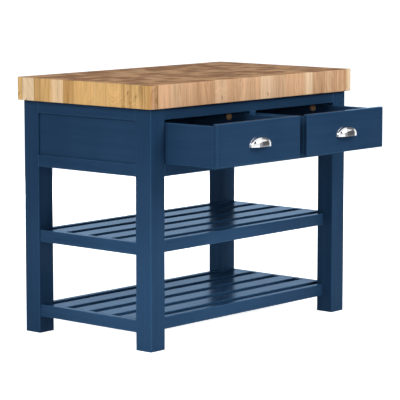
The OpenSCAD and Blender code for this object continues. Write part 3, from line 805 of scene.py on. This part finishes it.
def cup_section(turn, sizes, settings):
    """The closed section of the pull at one angle of its outline, as (along, out, up) points.

    It starts at the cup's inner foot, goes over the inner wall to the lip, back over the outer wall, and out
    over the rim to the drawer front.
    """
    half_length, height, depth = sizes
    rim, rim_t, wall = settings.rim_width, settings.rim_thickness, settings.wall
    inner, outer, edge = (
        superellipse(turn, half_length - inset, height - inset, settings.outline_power)
        for inset in (rim + wall, rim, 0.0)
    )
    inner_depth = (depth - wall) * inner[1] / (height - rim - wall)
    outer_depth = depth * outer[1] / (height - rim)
    leans = [math.pi / 2 * step / SECTION_STEPS for step in range(SECTION_STEPS + 1)]
    points = []
    for lean in leans:
        up, out = superellipse(lean, inner[1], inner_depth, settings.section_power)
        points.append((inner[0], out, up))
    for lean in leans[:0:-1]:
        up, out = superellipse(lean, outer[1], outer_depth, settings.section_power)
        points.append((outer[0], max(out, rim_t), up))
    for share, out in ((0.5, rim_t), (1.0, rim_t * 0.7), (1.0, 0.0)):
        points.append((outer[0] + (edge[0] - outer[0]) * share, out, outer[1] + (edge[1] - outer[1]) * share))
    return points


def cup_pull_form(node, settings):
    """The shell of a cup pull with its bosses, in the place and size of its CAD node."""
    low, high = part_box(node)
    face_y = high.y
    middle_x = (low.x + high.x) / 2
    sizes = ((high.x - low.x) / 2, high.z - low.z, high.y - low.y)
    form = bmesh.new()
    rings = []
    for step in range(OUTLINE_STEPS + 1):
        section = cup_section(math.pi * step / OUTLINE_STEPS, sizes, settings)
        rings.append([form.verts.new((middle_x + x, face_y - out, low.z + up)) for x, out, up in section])
    for ring, following in zip(rings, rings[1:]):
        for i in range(len(ring)):
            j = (i + 1) % len(ring)
            form.faces.new((ring[i], ring[j], following[j], following[i]))
    for ring in (rings[0], rings[-1]):
        form.faces.new(ring)
    bmesh.ops.remove_doubles(form, verts=form.verts, dist=FINEST_EDGE)
    bmesh.ops.dissolve_degenerate(form, edges=form.edges, dist=FINEST_EDGE)
    bmesh.ops.recalc_face_normals(form, faces=form.faces)
    for side in (-1, 1):
        add_boss(form, (middle_x + side * settings.screw_span / 2, face_y, low.z), sizes[2], settings)
    return form


def add_boss(form, place, depth, settings):
    """A round boss inside a cup this deep, from the drawer front to the cup's wall."""
    radius, reach = settings.boss_width / 2, depth * settings.boss_reach
    made = bmesh.ops.create_cone(
        form, cap_ends=True, segments=24, radius1=radius, radius2=radius * settings.boss_taper, depth=reach,
    )["verts"]
    for vert in made:
        x, y, z = vert.co
        vert.co = Vector((place[0] + x, place[1] - reach / 2 - z, place[2] + settings.boss_height + y))
    faces = {face for vert in made for face in vert.link_faces}
    bmesh.ops.recalc_face_normals(form, faces=list(faces))


class ISLAND_OT_paint(bpy.types.Operator):
    """Paint the frame, the shelves and the drawers along the grain of each board"""

    bl_idname = "island.paint"
    bl_label = "Paint the timber"

    def execute(self, context):
        settings = context.scene.island_paint
        materials = [paint_material(axis, settings) for axis in range(3)]
        for node in nodes_in_slot("painted_timber"):
            low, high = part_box(node)
            size = high - low
            dress(node, materials[max(range(3), key=lambda axis: size[axis])])
        return {"FINISHED"}


class ISLAND_OT_oak(bpy.types.Operator):
    """Finish the stop pegs and the worktop's wooden buttons in plain oak"""

    bl_idname = "island.oak"
    bl_label = "Finish the plain oak"

    def execute(self, context):
        settings = context.scene.island_oak
        pegs = oak_material("oak_pegs", X_AXIS, settings)
        buttons = oak_material("oak_buttons", Y_AXIS, settings)
        for node in nodes_in_slot("plain_oak"):
            dress(node, pegs if node.endswith("stop_pegs") else buttons)
        return {"FINISHED"}


class ISLAND_OT_worktop(bpy.types.Operator):
    """Cut the worktop's slab into glued end-grain blocks"""

    bl_idname = "island.worktop"
    bl_label = "Glue up the worktop"

    def execute(self, context):
        settings = context.scene.island_worktop
        low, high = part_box("worktop")
        material = worktop_material(settings)
        slab = mesh_of(merged("worktop"), "worktop_slab", material)
        mesh = grow("worktop_blocks", slab, worktop_tree(), {
            "Length": high.x - low.x,
            "Depth": high.y - low.y,
            "Middle height": (low.z + high.z) / 2,
            "Thickness": high.z - low.z,
            "Material": material,
            **own_values(settings, ("Block length", "Block width", "Spread", "Seam", "Seed")),
        })
        smooth(mesh, degrees=40.0)
        piece = new_piece("worktop_blocks", mesh, "frame")
        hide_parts("worktop")
        return {"FINISHED"}


class ISLAND_OT_pulls(bpy.types.Operator):
    """Shape the two chrome cup pulls"""

    bl_idname = "island.pulls"
    bl_label = "Shape the cup pulls"

    def execute(self, context):
        settings = context.scene.island_pulls
        chrome = metal_material("polished_chrome", settings.chrome, settings.roughness, mark=0.0006)
        for drawer in DRAWERS:
            node = f"{drawer}_cup_pull"
            name = f"{drawer}_shaped_cup_pull"
            mesh = mesh_of(cup_pull_form(node, settings), name, chrome)
            smooth(mesh, CRISP)
            piece = new_piece(name, mesh, drawer)
            edges = piece.modifiers.new("Eased edges", "BEVEL")
            edges.width = settings.edge
            edges.segments = 2
            edges.limit_method = "ANGLE"
            edges.angle_limit = math.radians(CRISP)
            edges.harden_normals = True
            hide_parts(node)
        return {"FINISHED"}


class ISLAND_OT_screws(bpy.types.Operator):
    """Cut the cross-head screws of the pulls and of the worktop's buttons"""

    bl_idname = "island.screws"
    bl_label = "Cut the screws"

    def execute(self, context):
        settings = context.scene.island_screws
        steel = metal_material("zinc_plated_steel", settings.steel, roughness=0.30, mark=0.0004)
        tree = screw_tree()
        for node, body, axis in (
            ("worktop_screws", "frame", Z_AXIS),
            ("drawer_left_pull_screws", "drawer_left", Y_AXIS),
            ("drawer_right_pull_screws", "drawer_right", Y_AXIS),
        ):
            name = node.replace("screws", "cross_head_screws")
            seats, size = self.seats(solids(node), axis, settings.head_thickness)
            points = bpy.data.meshes.new(name)
            points.from_pydata(seats, [], [])
            mesh = grow(name, points, tree, {
                "Shank diameter": size.x / settings.head_ratio,
                "Shank length": size[axis] - settings.head_thickness,
                "Head diameter": size.x,
                "Turn": (math.radians(90.0) if axis == Y_AXIS else 0.0, 0.0, 0.0),
                "Material": steel,
                **own_values(settings, (
                    "Head thickness", "Pitch", "Thread depth", "Threaded", "Thread start",
                    "Slot length", "Slot width", "Slot depth",
                )),
            })
            smooth(mesh, degrees=35.0)
            piece = new_piece(name, mesh, body)
            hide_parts(node)
        return {"FINISHED"}

    @staticmethod
    def seats(boxes, axis, head_t):
        """Where the head of each screw meets its shank, and the size of a whole screw."""
        seats = [(low + high) / 2 for low, high in boxes]
        for seat, (low, high) in zip(seats, boxes):
            seat[axis] = high.y - head_t if axis == Y_AXIS else low.z + head_t
        return seats, boxes[0][1] - boxes[0][0]


def seen_directly(graph):
    """One where the camera, a mirror or glass shows the surface, and nought where it only gives light."""
    path = graph.node("ShaderNodeLightPath").outputs
    seen = graph.math("MAXIMUM", path["Is Camera Ray"], path["Is Glossy Ray"])
    return graph.math("MAXIMUM", seen, path["Is Transmission Ray"])


def aimed(thing, place, target):
    """Puts a lamp or board at a place, with its face towards a target."""
    thing.location = place
    thing.rotation_euler = (Vector(target) - thing.location).to_track_quat("-Z", "Y").to_euler()


class ISLAND_OT_studio(bpy.types.Operator):
    """Lay the floor, hang the lamps and set the white background"""

    bl_idname = "island.studio"
    bl_label = "Set up the studio"

    def execute(self, context):
        settings = context.scene.island_studio
        self.lay_floor(settings)
        self.hang_lamps(settings)
        self.stand_boards()
        self.set_background(context.scene, settings)
        context.scene.view_settings.view_transform = "Standard"
        return {"FINISHED"}

    @staticmethod
    def lay_floor(settings):
        """A wide pale floor that keeps the island's shadow and looks white farther out."""
        material, graph, place = new_material("pale_floor")
        glow = graph.ease(graph.vector("LENGTH", place), 1.0, 2.5, settings.floor_glow, 1.0)
        finish_material(graph, {
            "Base Color": clouded(graph, place, settings.floor, dark=0.985, scale=35.0, detail=3.0),
            "Roughness": 0.85,
            "Specular IOR Level": 0.2,
            "Emission Color": WHITE,
            "Emission Strength": graph.times(seen_directly(graph), glow),
        })
        form = bmesh.new()
        bmesh.ops.create_circle(form, cap_ends=True, segments=96, radius=settings.floor_radius)
        floor = new_object("floor", mesh_of(form, "floor", material))

    @staticmethod
    def hang_lamps(settings):
        """Large soft lamps in front, at the left and behind, and small ones for the drawers and the feet."""
        for name, power, place, target, size, beam, mirrored in LAMPS:
            data = bpy.data.lights.new(name, "AREA")
            data.shape = "DISK"
            data.size = size
            data.energy = getattr(settings, power)
            data.spread = math.radians(beam)
            lamp = new_object(name, data)
            lamp.visible_camera = False
            lamp.visible_glossy = mirrored
            aimed(lamp, place, target)

    @staticmethod
    def stand_boards():
        """Boards round the studio that only mirrored rays see, for the chrome and the paint to mirror."""
        for name, azimuth, elevation, distance, width, height, core, tone in BOARDS:
            material, graph, place = new_material(name)
            x, y, _ = graph.split(graph.scaled(place, (2.0 / width, 2.0 / height, 1.0)))
            edge = graph.math("MAXIMUM", graph.math("ABSOLUTE", x), graph.math("ABSOLUTE", y))
            finish_material(graph, {
                "Base Color": BLACK,
                "Specular IOR Level": 0.0,
                "Emission Color": graph.blend(graph.noise(place, scale=5.0), dimmed(tone, 0.85), tone),
                "Emission Strength": 1.0,
                "Alpha": graph.ease(edge, core, 1.0, 1.0, 0.0),
            })
            form = bmesh.new()
            bmesh.ops.create_grid(form, x_segments=1, y_segments=1, size=0.5)
            bmesh.ops.scale(form, vec=(width, height, 1.0), verts=form.verts)
            board = new_object(name, mesh_of(form, name, material))
            for ray in ("camera", "diffuse", "transmission", "volume_scatter", "shadow"):
                setattr(board, f"visible_{ray}", False)
            turn, rise = math.radians(azimuth), math.radians(elevation)
            flat = distance * math.cos(rise)
            away = Vector((flat * math.sin(turn), -flat * math.cos(turn), distance * math.sin(rise)))
            aimed(board, PULLS + away, PULLS)

    @staticmethod
    def set_background(scene, settings):
        """White to the camera, in mirrors and through glass, and a soft blue light on what it falls on."""
        world = bpy.data.worlds.new("white_studio")
        world.use_nodes = True
        world.node_tree.nodes.clear()
        graph = Graph(world.node_tree)
        seen = seen_directly(graph)
        strength = graph.times_plus(seen, 1.0 - settings.ambient, settings.ambient)
        tint = graph.blend(seen, settings.ambient_tint, WHITE)
        shader = graph.out("ShaderNodeBackground", {"Color": tint, "Strength": strength})
        graph.node("ShaderNodeOutputWorld", {"Surface": shader})
        scene.world = world


class ISLAND_OT_camera(bpy.types.Operator):
    """Set the camera at the photograph's viewing angle"""

    bl_idname = "island.camera"
    bl_label = "Set the camera"

    def execute(self, context):
        settings = context.scene.island_studio
        data = bpy.data.cameras.new("camera")
        data.sensor_width = settings.sensor_width
        data.lens = settings.lens
        data.clip_end = VIEW_END
        camera = new_object("camera", data)
        turn, distance = settings.camera_turn, settings.camera_distance
        camera.location = (-distance * math.sin(turn), -distance * math.cos(turn), settings.camera_height)
        camera.rotation_euler = (math.radians(90.0) - settings.camera_pitch, 0.0, -settings.camera_heading)
        context.scene.camera = camera
        return {"FINISHED"}


OPERATORS = (
    ISLAND_OT_paint,
    ISLAND_OT_oak,
    ISLAND_OT_worktop,
    ISLAND_OT_pulls,
    ISLAND_OT_screws,
    ISLAND_OT_studio,
    ISLAND_OT_camera,
)


class ISLAND_PT_panel(bpy.types.Panel):
    """Lists the steps that dress the island, with their sizes and colours"""

    bl_idname = "ISLAND_PT_panel"
    bl_label = "Kitchen Island"
    bl_space_type = "VIEW_3D"
    bl_region_type = "UI"
    bl_category = "Island"

    def draw(self, context):
        layout = self.layout
        for operator in OPERATORS:
            layout.operator(operator.bl_idname)
        for name, group in SETTINGS.items():
            box = layout.box()
            box.label(text=group.__doc__)
            for prop in group.__annotations__:
                box.prop(getattr(context.scene, name), prop)


CLASSES = (*SETTINGS.values(), *OPERATORS, ISLAND_PT_panel)


def register():
    for cls in CLASSES:
        bpy.utils.register_class(cls)
    for name, group in SETTINGS.items():
        setattr(bpy.types.Scene, name, PointerProperty(type=group))


def unregister():
    for name in SETTINGS:
        delattr(bpy.types.Scene, name)
    for cls in reversed(CLASSES):
        bpy.utils.unregister_class(cls)


def main():
    """Registers the add-on and dresses the island."""
    register()
    bpy.ops.island.camera()
    bpy.ops.island.paint()
    bpy.ops.island.oak()
    bpy.ops.island.worktop()
    bpy.ops.island.pulls()
    bpy.ops.island.screws()
    bpy.ops.island.studio()
    bpy.context.view_layer.update()


if __name__ == "__main__":
    main()
